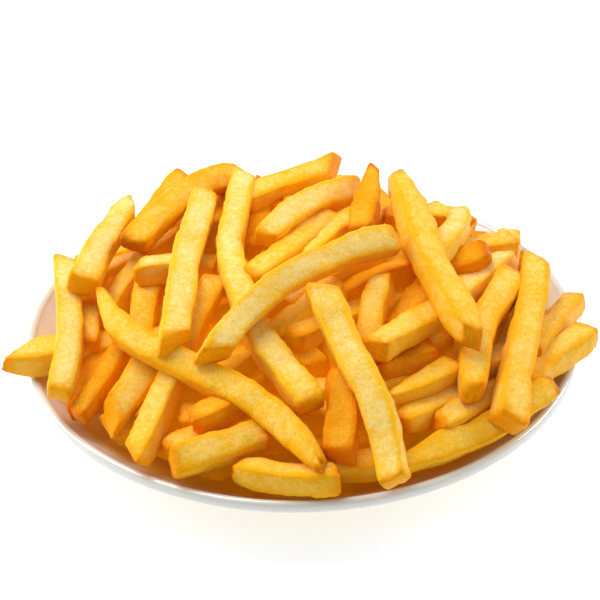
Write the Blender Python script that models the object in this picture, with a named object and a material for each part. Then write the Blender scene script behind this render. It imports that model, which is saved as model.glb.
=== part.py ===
"""French fries heaped on a round white porcelain plate. Metres, +Z up, origin under the plate's foot."""
import math
import random

import bmesh
import bpy
import numpy as np
from mathutils import Vector

MM = 0.001
PLATE_TURNS = 60
GAP = 0.3
SPREAD = 1.0

# plate section in mm, from the middle of the floor out over the lip and back under to the foot
PLATE_TOP = [(0, 6.3), (54, 6.3), (62, 6.9), (70, 8.8), (80, 13.2), (88, 17.6), (94, 21.2), (96.6, 23.2)]
PLATE_LIP = [(97.2, 24.2), (98.4, 24.7), (99.6, 24.1), (100, 22.4), (99.6, 20.8), (98.2, 20.1)]
PLATE_UNDER = [(95.5, 18.9), (88, 14.9), (80, 10.4), (70, 5.6), (63, 3.2), (60.6, 2.7), (60, 0.7), (59, 0)]
REAR_COUNT = 17
LAYERS = ((17, 60, 10, 0.8), (18, 67, 13, 0.2), (25, 66, 11, 0.8), (30, 74, 9, 0.4), (33, 60, 10, 0.8),
          (40, 50, 9, 0.8), (46, 34, 7, 0.8), (50, 14, 4, 0.8))

# one row per fry: end (mm), other end (mm), thickness, sideways bow, upward bow, sideways wave
LEFT_SIDE = [
    ((-103, -26, 30), (-64, -19, 31), 11.6, 0, 0, 0),
    ((-82, 17, 42), (-80, -54, 34), 9.8, 2, 1, 0),
    ((-73, -6, 35), (-75, -26, 30), 8, 0, 0, 0),
    ((-60, 42, 50), (-76, -10, 50), 11, 0, 1, 0),
    ((-64, 28, 36), (-72, 0, 34), 9, 0, 0, 0),
    ((-62, -28, 37), (-75, -58, 28), 8, 1, 0, 0),
    ((-47, -28, 43), (-64, -63, 33), 11.2, 1, 0, 0),
    ((-54, 0, 47), (-55, -34, 40), 9.4, 1, 1, 0),
    ((-57, -3, 48), (-30, 4, 48), 9, 2, 0, 0),
    ((-30, -13, 52), (-55, -79, 28), 9.8, 0, 0, 0),
]
BACK_CREST = [
    ((-22, 51, 55), (-58, 4, 56), 10.2, -2, 5, 0),
    ((-47, 56, 56), (-62, 22, 47), 10.4, 0, 0, 0),
    ((-38, 32, 61), (-42, -49, 53), 10.3, -2, 0, 0),
    ((-27, 52, 48), (-35, 4, 47), 9, 0, 0, 0),
    ((-18, 44, 61), (5, -71, 42), 10.3, -14, 2, 0),
    ((-12, 50, 57), (-15, 8, 50), 8.6, 0, 0, 0),
    ((15, 46, 60), (-20, 30, 56), 9, 0, 0, 0),
    ((-5, 27, 56), (15, 62, 46), 8.6, 0, 0, 0),
    ((22, 34, 60), (-12, 1, 60), 9.8, -3, 2, 0),
    ((13, 18, 56), (-17, -20, 54), 9, 0, 0, 0),
    ((-4, 8, 50), (-30, -6, 47), 8.6, 0, 0, 0),
    ((27, 34, 66), (20, 2, 57), 8.8, 0, 0, 0),
    ((24, 19, 58), (1, -8, 55), 9, 0, 0, 0),
    ((32, 30, 54), (12, 2, 52), 8.6, 0, 0, 0),
]
TOP_MIDDLE = [
    ((33, -10, 66), (-30, -58, 54), 10, -7, 4, 0),
    ((36, 32, 66), (56, -53, 51), 11.3, -3, 1, 0),
    ((8, -35, 61), (29, -97, 29), 10.3, 2, 1, -1),
    ((27, -19, 55), (20, -47, 44), 9.4, -1, 1, 0),
    ((21, -57, 53), (48, -31, 49), 9, 0, 0, 0),
    ((45, -10, 48), (30, -34, 45), 9, 0, 0, 0),
    ((40, -6, 51), (10, -20, 48), 8.6, 0, 0, 0),
    ((13, -19, 52), (-9, -42, 45), 9, 0, 0, 0),
    ((3, -32, 46), (15, -54, 38), 9, 0, 0, 0),
    ((-2, -40, 40), (18, -40, 40), 9, 0, 0, 0),
]
RIGHT_SIDE = [
    ((61, 30, 48), (31, 26, 51), 9, 0, 1, 0),
    ((58, 25, 51), (46, -16, 53), 9.8, 3, 1, 0),
    ((65, 0, 52), (44, -4, 48), 9.8, 0, 0, 0),
    ((78, 24, 40), (53, 12, 45), 8.6, 0, 0, 0),
    ((75, 11, 41), (52, -22, 45), 9.4, 0, 1, 0),
    ((73, -4, 44), (55, -66, 37), 10.4, -4, 0, 1),
    ((83, 5, 42), (66, -73, 29), 10.8, 0, 1, 0),
    ((98, -1, 31), (75, -38, 34), 9.4, 0, 0, 0),
    ((96, -17, 31), (68, -49, 31), 9.8, 0, 0, 0),
    ((70, -10, 38), (62, -36, 34), 9, 0, 0, 0),
    ((60, -48, 36), (79, -24, 31), 8.6, 0, 0, 0),
    ((60, -54, 31), (81, -37, 29), 8.6, 0, 0, 0),
    ((50, -36, 43), (34, -41, 38), 8, 0, 0, 0),
]
FRONT = [
    ((-73, -19, 49), (4, -92, 33), 9.9, 0, 1, -4),
    ((44, -46, 44), (24, -56, 41), 8.6, 0, 0, 0),
    ((26, -68, 41), (52, -51, 40), 8.6, -2, 0, 0),
    ((31, -74, 34), (54, -55, 33), 9, 0, 0, 0),
    ((43, -72, 35), (71, -49, 31), 9.4, 0, 0, 0),
    ((83, -49, 30), (25, -86, 26), 9.4, 2, 0, 0),
    ((14, -56, 43), (11, -86, 31), 10.8, 0, 0, 0),
    ((-4, -49, 38), (17, -48, 38), 9, 0, 0, 0),
    ((-22, -84, 28), (10, -92, 28), 9.8, -2, 0, 0),
    ((2, -84, 27), (30, -82, 27), 9.2, 0, 0, 0),
    ((-14, -40, 45), (-31, -58, 38), 9, 0, 0, 0),
    ((-4, -48, 39), (-26, -61, 34), 9, 0, 0, 0),
    ((-37, -73, 37), (-15, -61, 39), 9, 0, 0, 0),
    ((-42, -87, 29), (-12, -76, 33), 11, 0, 0, 0),
    ((-46, -76, 31), (-19, -63, 34), 8, 0, 0, 0),
]
SHOWN = LEFT_SIDE + BACK_CREST + TOP_MIDDLE + RIGHT_SIDE + FRONT


def floor_height(r):
    """Height of the plate's upper surface in mm at radius r."""
    return np.interp(r, [p[0] for p in PLATE_TOP + [(98.7, 24.5), (140, 24.5)]],
                     [p[1] for p in PLATE_TOP + [(98.7, 24.5), (140, 24.5)]])


def mound_height(r):
    """Height in mm that the top of the heap keeps to at radius r."""
    return 27 + 44 * (1 - np.minimum(1, r / 103) ** 2.4)


def laid_row(rng, r, turn, swing, half_low, half_high, z, tip):
    """One fry lying roughly along a circle of radius r."""
    aim = turn + math.pi / 2 + rng.uniform(-swing, swing)
    half = rng.uniform(half_low, half_high)
    x, y = r * math.cos(turn), r * math.sin(turn)
    dx, dy = half * math.cos(aim), half * math.sin(aim)
    return ((x - dx, y - dy, z - tip), (x + dx, y + dy, z + tip), rng.uniform(8, 9.6),
            rng.uniform(-3, 3), rng.uniform(0, 2), 0)


def rear_and_inner():
    """Rows for the fries down the far side of the heap, then for the layers inside it."""
    rng = random.Random(7)
    rows = []
    for k in range(REAR_COUNT):
        turn = math.radians(8 + 164 * k / (REAR_COUNT - 1) + rng.uniform(-4, 4))
        r = 60 + 16 * (k % 2)
        z = float(mound_height(r + 6)) - 15 + rng.uniform(-2, 2)
        rows.append(laid_row(rng, r, turn, 0.7, 27, 38, z, rng.uniform(-5, 5)))
    for z, r, count, swing in LAYERS:
        for k in range(count):
            turn = 2 * math.pi * (k + 0.13 * z) / count
            rows.append(laid_row(rng, r + rng.uniform(-4, 4), turn, swing, 22, 33, z, rng.uniform(-2, 2)))
    return rows


def centre_lines(ends_a, ends_b, bow, stops):
    """Points along every fry: (fries, stops, 3)."""
    run = ends_b - ends_a
    side = np.stack([-run[:, 1], run[:, 0], 0 * run[:, 0]], 1)
    side /= np.linalg.norm(side, axis=1)[:, None] + 1e-9
    t = stops[None, :, None]
    arch = 4 * t * (1 - t)
    lines = ends_a[:, None] * (1 - t) + ends_b[:, None] * t
    sway = bow[:, None, None, 0] * arch + bow[:, None, None, 2] * np.sin(2 * np.pi * t)
    lines = lines + side[:, None] * sway
    lines = lines + np.array([0, 0, 1.0]) * bow[:, None, None, 1] * arch
    return lines


def settle(rows, loose_from):
    """Moves the fries apart until they lie on one another and on the plate."""
    a = np.array([row[0] for row in rows], float)
    b = np.array([row[1] for row in rows], float)
    thick = np.array([row[2] for row in rows], float)
    bow = np.array([row[3:6] for row in rows], float)
    start_a, start_b = a.copy(), b.copy()
    length = np.linalg.norm(b - a, axis=1)
    hold = np.where(np.arange(len(rows)) < loose_from, 0.06, 0.01)[:, None]
    stops = np.linspace(0.03, 0.97, 8)
    owner = np.repeat(np.arange(len(rows)), len(stops))
    along = np.tile(stops, len(rows))
    near = (thick[owner][:, None] + thick[owner][None]) / 2
    apart = owner[:, None] != owner[None]
    give = np.where(owner < loose_from, 0.35, 1.0)
    share = give[:, None] / (give[:, None] + give[None])
    for step in range(90):
        points = centre_lines(a, b, bow, stops).reshape(-1, 3)
        diff = points[:, None] - points[None]
        dist = np.sqrt((diff ** 2).sum(2)) + 1e-6
        deep = np.where(apart, np.maximum(0, near - dist), 0)
        push = (diff / dist[..., None] * (deep * share)[..., None]).sum(1)
        hits = np.maximum(1, (deep > 0).sum(1))[:, None]
        push = 0.8 * push / hits
        radius = np.hypot(points[:, 0], points[:, 1])
        low = floor_height(radius) + thick[owner] / 2 + GAP - points[:, 2]
        push[:, 2] += np.maximum(0, low)
        high = points[:, 2] + thick[owner] / 2 - mound_height(radius) + 11
        push[:, 2] -= np.where(owner < loose_from, 0, np.maximum(0, high))
        for end, weight in ((a, 1 - along), (b, along)):
            move = np.zeros_like(end)
            np.add.at(move, owner, push * weight[:, None])
            total = np.zeros(len(rows))
            np.add.at(total, owner, weight * (np.abs(push).sum(1) > 1e-4))
            end += move / np.maximum(1, total)[:, None]
        a += (start_a - a) * hold
        b += (start_b - b) * hold
        run = b - a
        now = np.linalg.norm(run, axis=1)
        fix = run * ((length - now) / now / 2)[:, None]
        a -= fix
        b += fix
    return a, b, thick, bow


def clear_scene():
    for thing in list(bpy.data.objects):
        bpy.data.objects.remove(thing)


def coating(name, colour, roughness):
    material = bpy.data.materials.new(name)
    material.use_nodes = True
    shader = material.node_tree.nodes["Principled BSDF"]
    shader.inputs["Base Color"].default_value = (*colour, 1)
    shader.inputs["Roughness"].default_value = roughness
    return material


def keep(name, mesh_data, material=None):
    mesh = bpy.data.meshes.new(name)
    mesh_data.to_mesh(mesh)
    mesh_data.free()
    thing = bpy.data.objects.new(name, mesh)
    bpy.context.scene.collection.objects.link(thing)
    if material:
        mesh.materials.append(material)
    return thing


def turned(profile):
    """Solid of revolution about Z from an open profile whose two ends lie on the axis."""
    made = bmesh.new()
    rings = []
    for r, z in profile:
        if r == 0:
            rings.append([made.verts.new((0, 0, z * MM))])
            continue
        rings.append([made.verts.new((r * MM * math.cos(2 * math.pi * k / PLATE_TURNS),
                                      r * MM * math.sin(2 * math.pi * k / PLATE_TURNS), z * MM))
                      for k in range(PLATE_TURNS)])
    for low, high in zip(rings, rings[1:]):
        for k in range(PLATE_TURNS):
            n = (k + 1) % PLATE_TURNS
            if len(low) == 1:
                made.faces.new((low[0], high[k], high[n]))
            elif len(high) == 1:
                made.faces.new((low[k], high[0], low[n]))
            else:
                made.faces.new((low[k], high[k], high[n], low[n]))
    bmesh.ops.recalc_face_normals(made, faces=made.faces)
    return made


def stick(into, line, thick, roll, cut_a, cut_b):
    """One fry: a square bar swept along its centre line, its two ends cut a little askew."""
    pts = [Vector(p) * MM for p in line]
    rings = []
    for k, p in enumerate(pts):
        ahead = (pts[min(k + 1, len(pts) - 1)] - pts[max(k - 1, 0)]).normalized()
        side = ahead.cross(Vector((0, 0, 1))).normalized()
        rise = side.cross(ahead).normalized()
        across = side * math.cos(roll) + rise * math.sin(roll)
        over = rise * math.cos(roll) - side * math.sin(roll)
        half = thick / 2 * MM
        slant = cut_a if k == 0 else cut_b if k == len(pts) - 1 else 0
        ring = []
        for u, v in ((-1, -1), (1, -1), (1, 1), (-1, 1)):
            ring.append(into.verts.new(p + (across * u + over * v) * half + ahead * (slant * u * half)))
        rings.append(ring)
    for low, high in zip(rings, rings[1:]):
        for k in range(4):
            n = (k + 1) % 4
            into.faces.new((low[k], low[n], high[n], high[k]))
    into.faces.new(list(reversed(rings[0])))
    into.faces.new(rings[-1])
    bmesh.ops.recalc_face_normals(into, faces=into.faces)


def core():
    """Rounded mound that fills the inside of the heap under the outer fries."""
    profile = [(0, float(mound_height(0)) - 12)]
    for r in (16, 32, 46, 58, 68, 77):
        profile.append((r, float(mound_height(r)) - 12 - 8 * (r / 80) ** 2))
    profile.append((86, 24))
    profile.append((84, 2))
    profile.append((0, 2))
    return turned(profile)


def volume(mesh):
    made = bmesh.new()
    made.from_mesh(mesh)
    held = made.calc_volume()
    made.free()
    return held


def boolean(target, other, kind):
    """Joins or cuts with the exact solver, and with the other one where the exact result loses its body."""
    before = volume(target.data)
    for solver in ("EXACT", "MANIFOLD"):
        step = target.modifiers.new(kind.lower(), "BOOLEAN")
        step.operation = kind
        step.solver = solver
        step.object = other
        graph = bpy.context.evaluated_depsgraph_get()
        done = bpy.data.meshes.new_from_object(target.evaluated_get(graph))
        target.modifiers.clear()
        if kind == "DIFFERENCE" or volume(done) >= before:
            target.data = done
            break
    bpy.data.objects.remove(other)


def largest_shell(thing):
    """Drops closed pockets and crumbs left inside or beside the main shell, and evens out its faces."""
    made = bmesh.new()
    made.from_mesh(thing.data)
    bmesh.ops.remove_doubles(made, verts=made.verts, dist=0.02 * MM)
    left = set(made.verts)
    shells = []
    while left:
        seed = left.pop()
        shell = [seed]
        queue = [seed]
        while queue:
            for edge in queue.pop().link_edges:
                for vert in edge.verts:
                    if vert in left:
                        left.remove(vert)
                        shell.append(vert)
                        queue.append(vert)
        shells.append(shell)
    shells.sort(key=len)
    for shell in shells[:-1]:
        bmesh.ops.delete(made, geom=shell, context="VERTS")
    bmesh.ops.triangulate(made, faces=made.faces)
    made.to_mesh(thing.data)
    made.free()


clear_scene()
porcelain = coating("glazed_white", (0.86, 0.84, 0.80), 0.12)
crisp = coating("fried_potato", (0.86, 0.56, 0.14), 0.55)

plate = keep("plate", turned([*PLATE_TOP, *PLATE_LIP, *PLATE_UNDER, (0, 0)]), porcelain)

rows = SHOWN + rear_and_inner()
a, b, thick, bow = settle(rows, len(SHOWN))
rng = random.Random(5)
heap = keep("fries_heap", core(), crisp)
for k in range(len(SHOWN) + REAR_COUNT):  # the layers inside lie within the core
    bend = np.abs(bow[k]).max()
    stations = 2 if bend == 0 else 3 if bend <= 2 else 5
    line = centre_lines(a[k:k + 1], b[k:k + 1], bow[k:k + 1], np.linspace(0, 1, stations))[0]
    one = bmesh.new()
    stick(one, line, float(thick[k]) + SPREAD, rng.uniform(-0.25, 0.25), rng.uniform(-0.3, 0.3),
          rng.uniform(-0.3, 0.3))
    boolean(heap, keep("fry", one), "UNION")

under = [(0, 6.3 + GAP), (54, 6.3 + GAP), (62, 6.9 + GAP)]
under += [(r - 0.2, z + GAP) for r, z in PLATE_TOP[3:]]
under += [(97.0, 24.3 + GAP), (98.4, 24.8 + GAP), (99.9, 24.3 + GAP), (100.6, 22.6), (100.6, -6), (0, -6)]
boolean(heap, keep("hollow", turned(under)), "DIFFERENCE")
largest_shell(heap)
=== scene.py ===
import math
import random
from collections import namedtuple

import bmesh
import bpy
import numpy as np
from mathutils import Matrix, Vector, noise


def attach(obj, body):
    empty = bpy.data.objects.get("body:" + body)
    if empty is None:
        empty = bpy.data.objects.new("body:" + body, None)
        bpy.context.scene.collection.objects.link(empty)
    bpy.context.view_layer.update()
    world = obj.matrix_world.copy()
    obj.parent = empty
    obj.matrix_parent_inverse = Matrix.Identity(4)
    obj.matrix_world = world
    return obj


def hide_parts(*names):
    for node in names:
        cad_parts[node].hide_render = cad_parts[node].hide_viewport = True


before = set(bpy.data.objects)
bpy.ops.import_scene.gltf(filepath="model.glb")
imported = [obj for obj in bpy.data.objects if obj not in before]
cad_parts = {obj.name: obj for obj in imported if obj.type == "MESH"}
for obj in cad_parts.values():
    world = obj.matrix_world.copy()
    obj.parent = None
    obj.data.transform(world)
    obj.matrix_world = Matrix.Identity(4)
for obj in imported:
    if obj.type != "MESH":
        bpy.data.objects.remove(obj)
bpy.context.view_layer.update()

mm = 0.001

# Every fry is one row: its two ends in mm, thickness, sideways bow, upward bow, sideways wave,
# roll in degrees, kind, how brown its edges are (0 to 1), and the shapes of its two tips:
# f cut flat, s cut on the slant, w drawn out to a wedge, v a short wedge, r rounded, t torn,
# n narrowed, h hooked, p a ragged point.
leftSide = [
    ((-103, -26, 30), (-64, -19, 31), 11.6, 0, 0, 0, 0, "golden", 0.4, "vf"),
    ((-82, 17, 42), (-80, -54, 34), 9.8, 2, 1, 0, 0, "pale", 0.4, "sf"),
    ((-73, -6, 35), (-75, -26, 30), 8, 0, 0, 0, 0, "golden", 0.3, "ff"),
    ((-60, 42, 50), (-76, -10, 50), 11, 0, 1, 0, 0, "pale", 0.2, "vf"),
    ((-64, 28, 36), (-72, 0, 34), 9, 0, 0, 0, 0, "browned", 0.6, "ff"),
    ((-62, -28, 37), (-75, -58, 28), 8, 1, 0, 0, 0, "browned", 0.5, "fr"),
    ((-47, -28, 43), (-64, -63, 33), 11.2, 1, 0, 0, 10, "golden", 0.35, "fs"),
    ((-54, 0, 47), (-55, -34, 40), 9.4, 1, 1, 0, 12, "golden", 0.35, "sf"),
    ((-57, -3, 48), (-30, 4, 48), 9, 2, 0, 0, 0, "pale", 0.3, "sf"),
    ((-30, -13, 52), (-55, -79, 28), 9.8, 0, 0, 0, 0, "golden", 0.4, "fs"),
]
backCrest = [
    ((-22, 51, 55), (-58, 4, 56), 10.2, -2, 5, 0, 22, "golden", 0.9, "rf"),
    ((-47, 56, 56), (-62, 22, 47), 10.4, 0, 0, 0, 15, "golden", 0.7, "rf"),
    ((-38, 32, 61), (-42, -49, 53), 10.3, -2, 0, 0, 10, "pale", 0.3, "fs"),
    ((-27, 52, 48), (-35, 4, 47), 9, 0, 0, 0, 0, "browned", 0.3, "ff"),
    ((-18, 44, 61), (5, -71, 42), 10.3, -14, 2, 0, -10, "pale", 0.4, "sf"),
    ((-12, 50, 57), (-15, 8, 50), 8.6, 0, 0, 0, 0, "browned", 0.8, "wf"),
    ((15, 46, 60), (-20, 30, 56), 9, 0, 0, 0, 15, "golden", 0.4, "sf"),
    ((-5, 27, 56), (15, 62, 46), 8.6, 0, 0, 0, 0, "pale", 0.2, "sf"),
    ((22, 34, 60), (-12, 1, 60), 9.8, -3, 2, 0, 20, "pale", 0.3, "ff"),
    ((13, 18, 56), (-17, -20, 54), 9, 0, 0, 0, 0, "golden", 0.3, "ff"),
    ((-4, 8, 50), (-30, -6, 47), 8.6, 0, 0, 0, 0, "golden", 0.4, "ff"),
    ((27, 34, 66), (20, 2, 57), 10, 0, 0, 0, 0, "browned", 0.9, "wf"),
    ((24, 19, 58), (1, -8, 55), 9, 0, 0, 0, 0, "golden", 0.4, "rf"),
    ((32, 30, 54), (12, 2, 52), 8.6, 0, 0, 0, 0, "pale", 0.3, "ff"),
]
topMiddle = [
    ((33, -10, 66), (-30, -58, 54), 10, -7, 4, 0, 32, "pale", 0.35, "fs"),
    ((36, 32, 66), (56, -53, 51), 11.3, -3, 1, 0, 8, "golden", 0.6, "wn"),
    ((8, -35, 61), (29, -97, 29), 10.3, 2, 1, -1, -12, "pale", 0.45, "sf"),
    ((27, -19, 55), (20, -47, 44), 9.4, -1, 1, 0, 0, "golden", 0.3, "rf"),
    ((21, -57, 53), (48, -31, 49), 9, 0, 0, 0, 0, "golden", 0.5, "sf"),
    ((45, -10, 48), (30, -34, 45), 9, 0, 0, 0, 0, "browned", 0.3, "ff"),
    ((40, -6, 51), (10, -20, 48), 8.6, 0, 0, 0, 0, "browned", 0.4, "ff"),
    ((13, -19, 52), (-9, -42, 45), 9, 0, 0, 0, 0, "golden", 0.4, "ff"),
    ((3, -32, 46), (15, -54, 38), 9, 0, 0, 0, 0, "browned", 0.3, "ff"),
    ((-2, -40, 40), (18, -40, 40), 9, 0, 0, 0, 0, "golden", 0.3, "ff"),
]
rightSide = [
    ((61, 30, 48), (31, 26, 51), 9, 0, 1, 0, 0, "golden", 0.3, "sf"),
    ((58, 25, 51), (43, -14, 52), 9, 3, 1, 0, 0, "pale", 0.2, "rf"),
    ((67, -1, 52), (44, -5, 48), 9.8, 0, 0, 0, 0, "browned", 0.6, "rf"),
    ((78, 24, 40), (53, 12, 45), 8.6, 0, 0, 0, 0, "golden", 0.3, "ff"),
    ((75, 11, 41), (52, -22, 45), 9.4, 0, 1, 0, 0, "pale", 0.2, "ff"),
    ((73, -4, 44), (55, -66, 37), 10.4, -4, 0, 1, 8, "golden", 0.3, "rt"),
    ((83, 5, 42), (66, -73, 29), 10.8, 0, 1, 0, 12, "golden", 0.3, "sf"),
    ((98, -1, 31), (75, -38, 34), 9.4, 0, 0, 0, 0, "golden", 0.4, "ff"),
    ((96, -17, 31), (68, -49, 31), 9.8, 0, 0, 0, 0, "golden", 0.3, "ff"),
    ((70, -10, 38), (62, -36, 34), 9, 0, 0, 0, 0, "browned", 0.3, "ff"),
    ((60, -48, 36), (79, -24, 31), 8.6, 0, 0, 0, 0, "pale", 0.2, "rf"),
    ((60, -54, 31), (81, -37, 29), 8.6, 0, 0, 0, 0, "pale", 0.2, "ff"),
    ((50, -36, 43), (34, -41, 38), 8, 0, 0, 0, 0, "golden", 0.4, "rf"),
]
front = [
    ((-73, -19, 49), (4, -92, 33), 9.9, 0, 1, -4, -24, "golden", 0.6, "hp"),
    ((44, -46, 44), (24, -56, 41), 8.6, 0, 0, 0, 0, "browned", 0.3, "ff"),
    ((26, -68, 41), (52, -51, 40), 8.6, -2, 0, 0, 0, "golden", 0.8, "wf"),
    ((31, -74, 34), (54, -55, 33), 9, 0, 0, 0, 0, "golden", 0.3, "ff"),
    ((43, -72, 35), (71, -49, 31), 9.4, 0, 0, 0, 0, "golden", 0.3, "ff"),
    ((83, -49, 30), (25, -86, 26), 9.4, 2, 0, 0, 25, "golden", 0.95, "rw"),
    ((14, -56, 43), (11, -86, 31), 10.8, 0, 0, 0, 0, "browned", 0.4, "ff"),
    ((-4, -49, 38), (17, -48, 38), 9, 0, 0, 0, 0, "pale", 0.2, "ff"),
    ((-22, -84, 28), (10, -92, 28), 9.8, -2, 0, 0, 0, "golden", 0.3, "rf"),
    ((2, -84, 27), (30, -82, 27), 9.2, 0, 0, 0, 0, "golden", 0.3, "ff"),
    ((-14, -40, 45), (-31, -58, 38), 9, 0, 0, 0, 0, "golden", 0.4, "ff"),
    ((-4, -48, 39), (-26, -61, 34), 9, 0, 0, 0, 0, "browned", 0.3, "ff"),
    ((-37, -73, 37), (-15, -61, 39), 9, 0, 0, 0, 0, "browned", 0.4, "rf"),
    ((-42, -87, 29), (-12, -76, 33), 11, 0, 0, 0, -22, "golden", 0.3, "ff"),
    ((-46, -76, 31), (-19, -63, 34), 8, 0, 0, 0, 0, "golden", 0.4, "rf"),
]
shown = leftSide + backCrest + topMiddle + rightSide + front

plate = {  # outlines are radius and height in mm
    "turns": 192,
    "softening": 2,
    "weld": 0.01,
    "top": [(0, 6.3), (54, 6.3), (62, 6.9), (70, 8.8), (80, 13.2), (88, 17.6), (94, 21.2), (96.6, 23.2)],
    "lip": [(97.2, 24.2), (98.4, 24.7), (99.6, 24.1), (100, 22.4), (99.6, 20.8), (98.2, 20.1)],
    "under": [(95.5, 18.9), (88, 14.9), (80, 10.4), (70, 5.6), (63, 3.2), (60.6, 2.7), (60, 0.7), (59, 0)],
    "brim": [(98.7, 24.5), (140, 24.5)],  # what a fry that reaches over the rim lies on
    "clearance": 0.3,
}
mound = {"edgeHeight": 27, "rise": 44, "reach": 103, "rounding": 2.4}
rear = {  # the far side of the heap, laid in two staggered arcs
    "count": 17,
    "firstTurn": 8,
    "sweep": 164,
    "turnSpread": 4,
    "radius": 58,
    "stagger": 15,
    "swing": 0.6,
    "half": (24, 33),
    "outward": 6,
    "sunk": 15,
    "heightSpread": 2,
    "tilt": 5,
}
inner = {  # the layers under the outer fries: height, radius, count and swing of each
    "layers": ((17, 60, 10, 0.8), (18, 67, 13, 0.2), (25, 66, 11, 0.8), (30, 74, 9, 0.4), (33, 60, 10, 0.8),
               (40, 50, 9, 0.8), (46, 34, 7, 0.8), (50, 14, 4, 0.8)),
    "turnPerHeight": 0.13,
    "radiusSpread": 4,
    "half": (22, 33),
    "tilt": 2,
}
laid = {"thick": (8, 9.6), "bow": 3, "arch": 2}  # the rear and the inner fries
settling = {
    "steps": 90,
    "stops": 8,          # points along a fry that can touch others
    "inset": 0.03,       # how far along the fry the first of them lies
    "holdShown": 0.06,   # pull back to the row's own place
    "holdLaid": 0.01,
    "giveShown": 0.35,   # how easily a fry gives way
    "giveLaid": 1.0,
    "pace": 0.8,
    "underTop": 11,      # mm that the laid fries keep below the mound's top
    "moved": 1e-4,
    "liftStops": 25,
    "liftWidth": 0.3,    # parts of the thickness that must clear the plate
    "liftHeight": 0.52,
}
seeds = {"rows": 7, "crust": 11}
nearZero = 1e-6


def floorHeight(r):  # the plate's upper face, mm
    rim = plate["top"] + plate["brim"]
    return np.interp(r, [p[0] for p in rim], [p[1] for p in rim])


def moundHeight(r):  # where the top of the heap lies, mm
    return mound["edgeHeight"] + mound["rise"] * (1 - np.minimum(1, r / mound["reach"]) ** mound["rounding"])


def laidRow(rng, r, turn, swing, halves, z, tilt):  # one fry lying roughly along a circle
    aim = turn + math.pi / 2 + rng.uniform(-swing, swing)
    half = rng.uniform(*halves)
    x, y = r * math.cos(turn), r * math.sin(turn)
    dx, dy = half * math.cos(aim), half * math.sin(aim)
    return ((x - dx, y - dy, z - tilt), (x + dx, y + dy, z + tilt), rng.uniform(*laid["thick"]),
            rng.uniform(-laid["bow"], laid["bow"]), rng.uniform(0, laid["arch"]), 0)


def rearAndInner():  # the far side of the heap and the layers under the outer fries
    rng = random.Random(seeds["rows"])

    def either(spread):
        return rng.uniform(-spread, spread)

    rows = []
    for k in range(rear["count"]):
        along = rear["sweep"] * k / (rear["count"] - 1)
        turn = math.radians(rear["firstTurn"] + along + either(rear["turnSpread"]))
        r = rear["radius"] + rear["stagger"] * (k % 2)
        z = float(moundHeight(r + rear["outward"])) - rear["sunk"] + either(rear["heightSpread"])
        rows.append(laidRow(rng, r, turn, rear["swing"], rear["half"], z, either(rear["tilt"])))
    for z, radius, count, swing in inner["layers"]:
        for k in range(count):
            turn = 2 * math.pi * (k + inner["turnPerHeight"] * z) / count
            r = radius + either(inner["radiusSpread"])
            rows.append(laidRow(rng, r, turn, swing, inner["half"], z, either(inner["tilt"])))
    return rows


def centreLines(endsA, endsB, bow, stops):
    run = endsB - endsA
    side = np.stack([-run[:, 1], run[:, 0], 0 * run[:, 0]], 1)
    side /= np.linalg.norm(side, axis=1)[:, None] + 1e-9
    t = stops[None, :, None]
    arch = 4 * t * (1 - t)
    lines = endsA[:, None] * (1 - t) + endsB[:, None] * t
    lines = lines + side[:, None] * (bow[:, None, None, 0] * arch
                                     + bow[:, None, None, 2] * np.sin(2 * np.pi * t))
    return lines + np.array([0, 0, 1.0]) * bow[:, None, None, 1] * arch


def settle(rows, shownCount):  # moves the fries apart until they lie on one another and on the plate
    a = np.array([row[0] for row in rows], float)
    b = np.array([row[1] for row in rows], float)
    thick = np.array([row[2] for row in rows], float)
    bow = np.array([row[3:6] for row in rows], float)
    startA, startB = a.copy(), b.copy()
    length = np.linalg.norm(b - a, axis=1)
    isShown = np.arange(len(rows)) < shownCount
    hold = np.where(isShown, settling["holdShown"], settling["holdLaid"])[:, None]
    stops = np.linspace(settling["inset"], 1 - settling["inset"], settling["stops"])
    owner = np.repeat(np.arange(len(rows)), len(stops))
    along = np.tile(stops, len(rows))
    girth = thick[owner]
    near = (girth[:, None] + girth[None]) / 2
    apart = owner[:, None] != owner[None]
    give = np.where(isShown[owner], settling["giveShown"], settling["giveLaid"])
    share = give[:, None] / (give[:, None] + give[None])
    for step in range(settling["steps"]):
        points = centreLines(a, b, bow, stops).reshape(-1, 3)
        diff = points[:, None] - points[None]
        dist = np.sqrt((diff ** 2).sum(2)) + nearZero
        deep = np.where(apart, np.maximum(0, near - dist), 0)
        push = (diff / dist[..., None] * (deep * share)[..., None]).sum(1)
        push = settling["pace"] * push / np.maximum(1, (deep > 0).sum(1))[:, None]
        radius = np.hypot(points[:, 0], points[:, 1])
        low = floorHeight(radius) + girth / 2 + plate["clearance"] - points[:, 2]
        push[:, 2] += np.maximum(0, low)
        high = points[:, 2] + girth / 2 - moundHeight(radius) + settling["underTop"]
        push[:, 2] -= np.where(isShown[owner], 0, np.maximum(0, high))
        for end, weight in ((a, 1 - along), (b, along)):
            move = np.zeros_like(end)
            np.add.at(move, owner, push * weight[:, None])
            total = np.zeros(len(rows))
            np.add.at(total, owner, weight * (np.abs(push).sum(1) > settling["moved"]))
            end += move / np.maximum(1, total)[:, None]
        a += (startA - a) * hold
        b += (startB - b) * hold
        run = b - a
        now = np.linalg.norm(run, axis=1)
        fix = run * ((length - now) / now / 2)[:, None]
        a -= fix
        b += fix
    liftClear(a, b, thick, bow)
    return a, b, thick, bow


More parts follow.
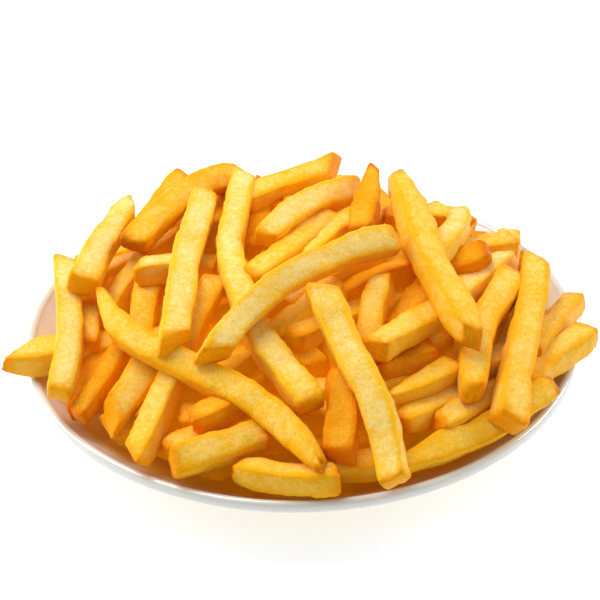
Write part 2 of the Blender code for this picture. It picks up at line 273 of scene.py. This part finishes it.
def liftClear(a, b, thick, bow):  # raises whatever still cuts the plate
    points = centreLines(a, b, bow, np.linspace(0, 1, settling["liftStops"]))
    radius = np.hypot(points[..., 0], points[..., 1]) + settling["liftWidth"] * thick[:, None]
    bottom = settling["liftHeight"] * thick[:, None]
    low = floorHeight(radius) + bottom + plate["clearance"] - points[..., 2]
    lift = np.maximum(0, low.max(1))
    a[:, 2] += lift
    b[:, 2] += lift
    print("lifted", int((lift > 0.5).sum()), "fries, at most", round(float(lift.max()), 1), "mm")


class Flow:  # one value travelling through a material
    def __init__(self, maker, out):
        self.maker = maker
        self.out = out

    def math(self, operation, first, second):
        return self.maker.node("ShaderNodeMath", {"operation": operation}, {0: first, 1: second})

    def __add__(self, other):
        return self.math("ADD", self, other)

    def __radd__(self, other):
        return self.math("ADD", other, self)

    def __mul__(self, other):
        return self.math("MULTIPLY", self, other)


class Finish:  # one material and the nodes that feed its shader
    def __init__(self, name, **fixed):
        self.material = bpy.data.materials.new(name)
        self.material.use_nodes = True
        self.tree = self.material.node_tree
        self.shader = self.tree.nodes["Principled BSDF"]
        for socket, value in fixed.items():
            self.shader.inputs[socket.replace("_", " ")].default_value = value

    def node(self, kind, settings, sockets, output=0):
        made = self.tree.nodes.new(kind)
        for key, value in settings.items():
            setattr(made, key, value)
        for key, value in sockets.items():
            if isinstance(value, Flow):
                self.tree.links.new(value.out, made.inputs[key])
            else:
                made.inputs[key].default_value = value
        return Flow(self, made.outputs[output])

    def place(self):
        return self.node("ShaderNodeTexCoord", {}, {}, "Object")

    def noise(self, scale, detail, roughness=0.55):
        return self.node("ShaderNodeTexNoise", {}, {"Vector": self.place(), "Scale": scale,
                                                    "Detail": detail, "Roughness": roughness})

    def between(self, value, low, high):
        return self.node("ShaderNodeMapRange", {"clamp": True},
                         {"Value": value, "From Min": low, "From Max": high})

    def patches(self, scale, detail, roughness=0.55):
        return self.between(self.noise(scale, detail, roughness), 0.33, 0.67)

    def attribute(self, name):
        return self.node("ShaderNodeAttribute", {"attribute_name": name}, {}, "Fac")

    def blend(self, factor, first, second):
        return self.node("ShaderNodeMix", {"data_type": "RGBA"}, {0: factor, 6: first, 7: second}, 2)

    def feed(self, socket, flow):
        self.tree.links.new(flow.out, self.shader.inputs[socket])

    def relief(self, height, distance, strength):
        bump = self.node("ShaderNodeBump", {}, {"Height": height, "Distance": distance, "Strength": strength})
        self.feed("Normal", bump)


# linear colours of the fried crust, from the pale middle of a face to a tip
friedKinds = {
    "golden": {"light": (0.98, 0.66, 0.16, 1), "mid": (0.98, 0.54, 0.03, 1),
               "rich": (0.97, 0.44, 0.002, 1), "edge": (0.94, 0.33, 0.001, 1)},
    "pale": {"light": (0.98, 0.74, 0.28, 1), "mid": (0.98, 0.62, 0.1, 1),
             "rich": (0.98, 0.51, 0.006, 1), "edge": (0.96, 0.40, 0.002, 1)},
    "browned": {"light": (0.96, 0.50, 0.035, 1), "mid": (0.93, 0.39, 0.006, 1),
                "rich": (0.90, 0.30, 0.001, 1), "edge": (0.85, 0.22, 0.001, 1)},
}
scorchedBrown = (0.52, 0.14, 0.003, 1)
potatoFlesh = ((0.90, 0.34, 0.004, 1), (0.95, 0.46, 0.012, 1))
noGlow = (0, 0, 0, 1)
paintedHeapGlow = (1.0, 0.52, 0.0, 1)  # painted glow: emission that stands in for light scattering between the fries deep in the heap
glow = {"from": 11, "over": 13, "strength": 0.11}  # painted glow and painted shade deep in the heap, which start and build up over mm below the mound's top
shade = {"from": 0.7, "over": 0.9}  # painted shade: the less a point faces up, the richer its colour
glazes = ((0.80, 0.77, 0.69, 1), (0.77, 0.735, 0.65, 1))
paintedFryReflection = {  # painted reflection of the golden fries on the front of the plate, metres
    "tint": (0.82, 0.50, 0.05, 1),
    "strength": 0.9,
    "outer": (0.0985, 0.0925),
    "front": (0.01, -0.05),
    "wander": 0.004,
}
floorColours = ((0.38, 0.44, 0.52, 1), (0.4, 0.46, 0.54, 1))


def friedCrust(kind):
    colours = friedKinds[kind]
    finish = Finish("fried_" + kind, IOR=1.42, Specular_IOR_Level=0.14, Specular_Tint=(1, 0.6, 0.15, 1),
                    Subsurface_Weight=0.2, Subsurface_Scale=0.0025, Subsurface_Radius=(1.0, 0.7, 0.25),
                    Emission_Strength=glow["strength"])
    crust, tip, tone = finish.attribute("crust"), finish.attribute("tip"), finish.attribute("tone")
    under, deep = finish.attribute("under"), finish.attribute("deep")
    cloudy = finish.patches(95.0, 2.0)
    blotchy = finish.patches(420.0, 3.0, 0.6)
    mottled = finish.patches(1000.0, 3.0, 0.6)
    face = blotchy * 0.4 + mottled * 0.45 + cloudy * 0.25 + tone * 0.3
    colour = finish.blend(finish.between(face, 0.35, 0.9), colours["light"], colours["mid"])
    margin = finish.between(crust + mottled * 0.3 + cloudy * 0.35, 0.42, 1.05)
    colour = finish.blend(margin * 0.9, colour, colours["rich"])
    # painted shade: points that face down or sideways take the richer colour
    colour = finish.blend(under * 0.7, colour, colours["rich"])
    ends = finish.between(tip + blotchy * 0.35, 0.25, 0.95)
    colour = finish.blend(ends * 0.95, colour, colours["edge"])
    burnt = finish.between(tip * tone * 1.1 + crust * tone * 0.5 + mottled * 0.2 + cloudy * 0.2, 0.6, 1.2)
    colour = finish.blend(burnt * 0.8, colour, scorchedBrown)
    # painted shade and painted glow: deep in the heap the colour turns richer and the crust gives off light
    finish.feed("Base Color", finish.blend(deep * 0.7, colour, colours["rich"]))
    finish.feed("Emission Color", finish.blend(deep, noGlow, paintedHeapGlow))
    finish.feed("Roughness", 0.3 + mottled * 0.2)
    finish.relief(mottled * 0.4 + blotchy * 0.6, 0.0005, 0.4)
    return finish.material


def packedMiddle():
    # painted glow: the middle gives off a light of its own
    finish = Finish("packed_middle", Roughness=0.6, Specular_IOR_Level=0.1, Emission_Color=paintedHeapGlow,
                    Emission_Strength=glow["strength"])
    grain = finish.noise(260.0, 3.0)
    finish.feed("Base Color", finish.blend(grain, *potatoFlesh))
    finish.relief(grain, 0.001, 0.5)
    return finish.material


def glazedWhite():
    finish = Finish("glazed_white", IOR=1.5, Coat_Weight=1.0, Coat_Roughness=0.03)
    drift = finish.noise(30.0, 2.0)
    spread = finish.node("ShaderNodeVectorMath", {"operation": "LENGTH"}, {0: finish.place()}, "Value")
    forward = finish.node("ShaderNodeSeparateXYZ", {}, {0: finish.place()}, "Y")
    # painted reflection: a golden band inside the rim, on the front of the plate
    inside = finish.between(spread + drift * paintedFryReflection["wander"], *paintedFryReflection["outer"])
    reflectedHere = inside * finish.between(forward, *paintedFryReflection["front"])
    glaze = finish.blend(drift, *glazes)
    finish.feed("Base Color", finish.blend(reflectedHere * paintedFryReflection["strength"], glaze, paintedFryReflection["tint"]))
    finish.feed("Roughness", 0.08 + drift * 0.06)
    finish.relief(finish.noise(60.0, 1.0), 0.0004, 0.15)
    return finish.material


def tableTop():
    finish = Finish("pale_floor", Roughness=0.8, Emission_Color=(1, 1, 1, 1), Emission_Strength=0.7)
    finish.feed("Base Color", finish.blend(finish.noise(3.0, 1.0), *floorColours))
    return finish.material


def asPiece(name, made, material, smooth=True):
    mesh = bpy.data.meshes.new(name)
    made.to_mesh(mesh)
    made.free()
    mesh.materials.append(material)
    for face in mesh.polygons:
        face.use_smooth = smooth
    piece = bpy.data.objects.new(name, mesh)
    bpy.context.scene.collection.objects.link(piece)
    return piece


def softened(points):  # corner cutting, which turns the plate's few section points into one curve
    for turn in range(plate["softening"]):
        kept = [points[0]]
        for (r0, z0), (r1, z1) in zip(points, points[1:]):
            kept.append((0.75 * r0 + 0.25 * r1, 0.75 * z0 + 0.25 * z1))
            kept.append((0.25 * r0 + 0.75 * r1, 0.25 * z0 + 0.75 * z1))
        points = kept + [points[-1]]
    return points


def spun(profile):  # an open profile from axis to axis, spun into a closed solid
    made = bmesh.new()
    verts = [made.verts.new((r * mm, 0, z * mm)) for r, z in profile]
    edges = [made.edges.new(pair) for pair in zip(verts, verts[1:])]
    bmesh.ops.spin(made, geom=verts + edges, cent=(0, 0, 0), axis=(0, 0, 1), angle=2 * math.pi,
                   steps=plate["turns"], use_merge=True)
    bmesh.ops.remove_doubles(made, verts=made.verts, dist=plate["weld"] * mm)
    bmesh.ops.recalc_face_normals(made, faces=made.faces)
    return made


fryShape = {  # lengths in mm
    "sectionCuts": 5,      # extra loops across each face
    "ringStep": 1.1,       # between loops along the fry
    "fewestRings": 14,
    "ringsToEnds": 0.72,   # how strongly the loops crowd to the ends
    "lineStops": 33,
    "roundness": 4.6,      # the higher, the squarer the section
    "skin": 0.98,          # from here outward a point lies on a face
    "hollow": 0.05,        # how far the faces sink in
    "swell": 0.12,
    "swellOver": 14,
    "wander": 1.6,         # how far the fry strays from its line
    "wanderOver": 26,
    "lumps": 0.5,          # unevenness of the crust
    "lumpOver": 6,
    "slantOver": 12,
    "endRound": 1.5,       # over which a tip's rim is rounded
    "endPinch": 0.17,
    "endDome": 0.35,
    "tipBrown": 5.0,       # over which a tip turns brown
    "narrowing": 1.3,      # the higher, the later a tip narrows
    "raggedScale": 1.7,
}
fryVariety = {  # from and to; roll and twist in radians, wide, tall and slants as factors
    "roll": (-0.2, 0.2),
    "twist": (-0.28, 0.28),
    "wide": (0.98, 1.1),
    "tall": (0.86, 1.0),
    "taper": (-0.07, 0.07),
    "seed": (0, 90),
    "slantAcross": (0.6, 1.2),
    "slantUp": (0.3, 1.2),
}
glimpsed = {  # what the fries that the rows don't list are drawn from
    "roll": (-25, 25),
    "kinds": ("golden", "golden", "pale", "browned"),
    "browning": (0.2, 0.6),
    "tips": ("ff", "fs", "sf", "rf", "wf", "ft"),
    "coarser": 2,
}

Tip = namedtuple("Tip", "slantAcross slantUp narrowAcross narrowUp reach ragged hook")
tipShapes = {  # slants and narrowing are factors; reach, ragged and hook are mm
    "f": Tip(0.12, 0.10, 0.93, 0.93, 5, 0.35, 0),
    "s": Tip(0.75, 0.35, 1.0, 0.95, 9, 0.3, 0),
    "w": Tip(0.3, 0.3, 0.45, 0.5, 22, 0.4, 1),
    "r": Tip(0.15, 0.15, 0.72, 0.78, 7, 0.4, 0),
    "t": Tip(0.4, 0.3, 0.8, 0.75, 10, 1.3, 0),
    "n": Tip(0.3, 0.3, 0.6, 0.6, 15, 0.7, 0),
    "h": Tip(0.2, 0.3, 0.3, 0.5, 20, 0.5, -4),
    "p": Tip(0.4, 0.2, 0.35, 0.6, 16, 1.6, 1),
    "v": Tip(0.5, 0.3, 0.35, 0.6, 11, 0.6, 0),
}


def edgeRun(edge):
    return abs(edge.verts[0].co.x - edge.verts[1].co.x)


def fryBlank(rings):  # bar along X, from -1 to 1 each way, with loops for shaping
    made = bmesh.new()
    bmesh.ops.create_cube(made, size=2)
    lengthwise = [edge for edge in made.edges if edgeRun(edge) > 1]
    bmesh.ops.subdivide_edges(made, edges=lengthwise, cuts=rings)
    crosswise = [edge for edge in made.edges if edgeRun(edge) < nearZero]
    bmesh.ops.subdivide_edges(made, edges=crosswise, cuts=fryShape["sectionCuts"], use_grid_fill=True)
    return made


def sectionPoint(blankU, blankV):  # from the square blank to a squarish section with sunken faces
    edgeU = math.sin(blankU * math.pi / 2)
    edgeV = math.sin(blankV * math.pi / 2)
    power = fryShape["roundness"]
    out = max(abs(edgeU), abs(edgeV))
    box = max(out, nearZero)
    squash = (abs(edgeU / box) ** power + abs(edgeV / box) ** power) ** (-1 / power)
    onFace = box > fryShape["skin"]
    corner = min(abs(edgeU), abs(edgeV)) / box if onFace else 0
    sink = 1 - fryShape["hollow"] * (1 - corner ** 2) if onFace else 1
    return edgeU * squash * sink, edgeV * squash * sink, corner, out


def lineFrame(line, distances, x, turn):  # the place x mm along a line, with its sideways and upward
    at = min(max(x, 0.0), float(distances[-1]))
    k = min(int(np.searchsorted(distances, at, side="right")) - 1, len(line) - 2)
    part = (x - distances[k]) / (distances[k + 1] - distances[k])
    base = Vector(line[k] * (1 - part) + line[k + 1] * part)
    back, ahead = line[max(k - 1, 0)], line[min(k + 2, len(line) - 1)]
    tangent = Vector(ahead - back).normalized()
    across = tangent.cross(Vector((0, 0, 1))).normalized()
    over = across.cross(tangent)
    sideways = across * math.cos(turn) + over * math.sin(turn)
    upward = over * math.cos(turn) - across * math.sin(turn)
    return base, sideways, upward


def shapeFry(made, line, thick, roll, tips, rng, crusts, tipness):
    distances = np.concatenate([[0], np.cumsum(np.linalg.norm(np.diff(line, axis=0), axis=1))])
    length = float(distances[-1])
    roll = roll + rng.uniform(*fryVariety["roll"])
    twist = rng.uniform(*fryVariety["twist"])
    wide, tall = rng.uniform(*fryVariety["wide"]), rng.uniform(*fryVariety["tall"])
    taper = rng.uniform(*fryVariety["taper"])
    seed = Vector([rng.uniform(*fryVariety["seed"]) for axis in range(3)])
    slants = [[tipShapes[kind].slantAcross * rng.choice((-1, 1)) * rng.uniform(*fryVariety["slantAcross"]),
               tipShapes[kind].slantUp * rng.choice((-1, 1)) * rng.uniform(*fryVariety["slantUp"])]
              for kind in tips]
    for vert in made.verts:
        u, v, corner, out = sectionPoint(vert.co.y, vert.co.z)
        t = (vert.co.x + 1) / 2
        t = t - fryShape["ringsToEnds"] * math.sin(2 * math.pi * t) / (2 * math.pi)
        end = 0 if t * length < (1 - t) * length else 1
        fromEnd = (1 - t) * length if end else t * length
        outward = 1 if end else -1
        tip = tipShapes[tips[end]]
        near = max(0.0, 1 - fromEnd / tip.reach)
        closing = near ** fryShape["narrowing"]
        narrowU, narrowV = 1 - (1 - tip.narrowAcross) * closing, 1 - (1 - tip.narrowUp) * closing
        rim = max(0.0, 1 - fromEnd / fryShape["endRound"])
        rounding = 1 - fryShape["endPinch"] * rim ** 2
        swelling = noise.noise(seed + Vector((t * length / fryShape["swellOver"], 0, 0)))
        swell = 1 + taper * (2 * t - 1) + fryShape["swell"] * swelling
        lean = max(0.0, 1 - fromEnd / fryShape["slantOver"])
        scale = fryShape["raggedScale"]
        ragged = tip.ragged * noise.noise(seed * 2 + Vector((u * scale, v * scale, end * 5.0))) * near
        x = t * length
        x += (slants[end][0] * u + slants[end][1] * v) * thick / 2 * lean + outward * ragged * 2
        if fromEnd < nearZero:
            x += outward * fryShape["endDome"] * (1 - out ** 2)
        lump = noise.fractal(seed + Vector((x / fryShape["lumpOver"], u, v)), 0.7, 2.3, 4)
        half = thick / 2 * swell * rounding + fryShape["lumps"] * lump
        drift = x / fryShape["wanderOver"]
        stray = fryShape["wander"] * noise.noise(seed + Vector((0, drift, 0))) + tip.hook * near ** 2
        rise = fryShape["wander"] * noise.noise(seed + Vector((0, 40 + drift, 0)))
        base, sideways, upward = lineFrame(line, distances, x, roll + twist * (2 * t - 1))
        place = base + sideways * (u * half * wide * narrowU + stray)
        place += upward * (v * half * tall * narrowV + rise)
        vert.co = place * mm
        crusts.append(min(1.0, corner ** 2))
        tipness.append(max(0.0, 1 - fromEnd / fryShape["tipBrown"]) ** 1.5)


def glimpsedLook(rng):  # roll, kind, browning and tips
    return (rng.uniform(*glimpsed["roll"]), rng.choice(glimpsed["kinds"]),
            rng.uniform(*glimpsed["browning"]), rng.choice(glimpsed["tips"]))


def joinTo(gathered, made):
    loose = bpy.data.meshes.new("loose")
    made.to_mesh(loose)
    made.free()
    gathered.from_mesh(loose)
    bpy.data.meshes.remove(loose)


def giveAttributes(piece, values):  # the numbers at each point that the fried crust reads
    spots = np.zeros(len(piece.data.vertices) * 3)
    piece.data.vertices.foreach_get("co", spots)
    x, y, z = spots.reshape(-1, 3).T / mm
    # painted glow and painted shade: how far a point lies below the mound's top
    buried = (moundHeight(np.hypot(x, y)) - z - glow["from"]) / glow["over"]
    # painted shade: how far a point's normal turns away from up
    piece.data.vertices.foreach_get("normal", spots)
    turnedDown = (shade["from"] - spots[2::3]) / shade["over"]
    values = {**values, "deep": np.clip(buried, 0, 1), "under": np.clip(turnedDown, 0, 1)}
    for name, numbers in values.items():
        layer = piece.data.attributes.new(name, "FLOAT", "POINT")
        layer.data.foreach_set("value", numbers)


def fryPieces():
    rows = shown + rearAndInner()
    a, b, thick, bow = settle([row[:6] for row in rows], len(shown))
    lines = centreLines(a, b, bow, np.linspace(0, 1, fryShape["lineStops"]))
    rng = random.Random(seeds["crust"])
    gathered = {kind: bmesh.new() for kind in friedKinds}
    values = {kind: {"crust": [], "tip": [], "tone": []} for kind in friedKinds}
    for k, (row, line) in enumerate(zip(rows, lines)):
        listed = k < len(shown)
        roll, kind, tone, tips = row[6:] if listed else glimpsedLook(rng)
        length = np.linalg.norm(np.diff(line, axis=0), axis=1).sum()
        step = fryShape["ringStep"] * (1 if listed else glimpsed["coarser"])
        made = fryBlank(max(fryShape["fewestRings"], int(length / step)))
        store = values[kind]
        before = len(store["crust"])
        shapeFry(made, line, float(thick[k]), math.radians(roll), tips, rng, store["crust"], store["tip"])
        store["tone"] += [tone] * (len(store["crust"]) - before)
        if made.calc_volume(signed=True) < 0:
            bmesh.ops.reverse_faces(made, faces=made.faces)
        joinTo(gathered[kind], made)
    for kind in friedKinds:
        piece = asPiece("fries_" + kind, gathered[kind], friedCrust(kind))
        giveAttributes(piece, values[kind])
        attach(piece, "root")
        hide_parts("fries_heap")
        print("fries", kind, len(piece.data.vertices), "points")


core = {"radius": 50, "height": 24, "above": 20, "below": 13, "forward": -6, "lumps": 0.08, "lumpScale": 4}


def innerCore():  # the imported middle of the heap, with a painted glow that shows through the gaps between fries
    made = bmesh.new()
    bmesh.ops.create_icosphere(made, subdivisions=5, radius=1)
    for vert in made.verts:
        x, y, z = vert.co
        lump = 1 + core["lumps"] * noise.noise(vert.co * core["lumpScale"])
        height = core["height"] + z * (core["above"] if z > 0 else core["below"])
        across = core["radius"]
        vert.co = Vector((x * across * lump, y * across * lump + core["forward"], height)) * mm
    piece = asPiece("fries_core", made, packedMiddle())
    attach(piece, "root")
    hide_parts("fries_heap")


def plateDish():
    section = softened(plate["top"]) + softened(plate["lip"]) + softened(plate["under"]) + [(0, 0)]
    piece = asPiece("plate_dish", spun(section), glazedWhite())
    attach(piece, "root")
    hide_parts("plate")
    print("plate", len(piece.data.vertices), "points")


view = {"elevation": 34.3, "distance": 0.65, "aim": (-0.0005, 0.0, 0.0352), "lens": 108.3, "roll": -1.67}
lamps = {
    "overBack": {"from": (-0.4, 0.3, 1.1), "size": 0.7, "watts": 9},
    "leftStrip": {"from": (-0.95, 0.25, 0.5), "size": 0.5, "watts": 5},
    "rightStrip": {"from": (0.95, 0.25, 0.5), "size": 0.5, "watts": 5},
}
lampsAim = (0, 0, 0.03)
sky = {"frontLow": 0.26, "overhead": 0.54, "brightest": (0, 0.5, 0.87), "dimmestFrom": -0.2}
floorHalf = 4


def facing(direction):
    return direction.to_track_quat("-Z", "Y").to_matrix().to_4x4()


def areaLamp(name, lamp):
    light = bpy.data.lights.new(name, "AREA")
    light.shape = "SQUARE"
    light.size = lamp["size"]
    light.energy = lamp["watts"]
    holder = bpy.data.objects.new(name, light)
    aim = Vector(lampsAim) - Vector(lamp["from"])
    holder.matrix_world = Matrix.Translation(lamp["from"]) @ facing(aim)
    bpy.context.scene.collection.objects.link(holder)


def skyLight():
    world = bpy.data.worlds.new("studio")
    world.use_nodes = True
    tree = world.node_tree
    where = tree.nodes.new("ShaderNodeTexCoord")
    lift = tree.nodes.new("ShaderNodeVectorMath")
    lift.operation = "DOT_PRODUCT"
    lift.inputs[1].default_value = sky["brightest"]
    tree.links.new(where.outputs["Generated"], lift.inputs[0])
    bright = tree.nodes.new("ShaderNodeMapRange")
    tree.links.new(lift.outputs["Value"], bright.inputs["Value"])
    bright.inputs["From Min"].default_value = sky["dimmestFrom"]
    bright.inputs["To Min"].default_value = sky["frontLow"]
    bright.inputs["To Max"].default_value = sky["overhead"]
    tree.links.new(bright.outputs["Result"], tree.nodes["Background"].inputs["Strength"])
    tree.nodes["Background"].inputs["Color"].default_value = (1, 1, 1, 1)
    bpy.context.scene.world = world


def studio():
    floor = bmesh.new()
    bmesh.ops.create_grid(floor, x_segments=1, y_segments=1, size=floorHalf)
    asPiece("floor", floor, tableTop(), smooth=False)
    for name, lamp in lamps.items():
        areaLamp(name, lamp)
    skyLight()
    bpy.context.scene.view_settings.view_transform = "Standard"


def camera():
    lens = bpy.data.cameras.new("camera")
    lens.lens = view["lens"]
    holder = bpy.data.objects.new("camera", lens)
    tilt = math.radians(view["elevation"])
    back = Vector((0, -math.cos(tilt), math.sin(tilt)))
    stand = Vector(view["aim"]) + back * view["distance"]
    roll = Matrix.Rotation(math.radians(view["roll"]), 4, "Z")
    holder.matrix_world = Matrix.Translation(stand) @ facing(-back) @ roll
    bpy.context.scene.collection.objects.link(holder)
    bpy.context.scene.camera = holder


print("plate")
plateDish()
print("fries")
fryPieces()
innerCore()
print("studio")
studio()
camera()
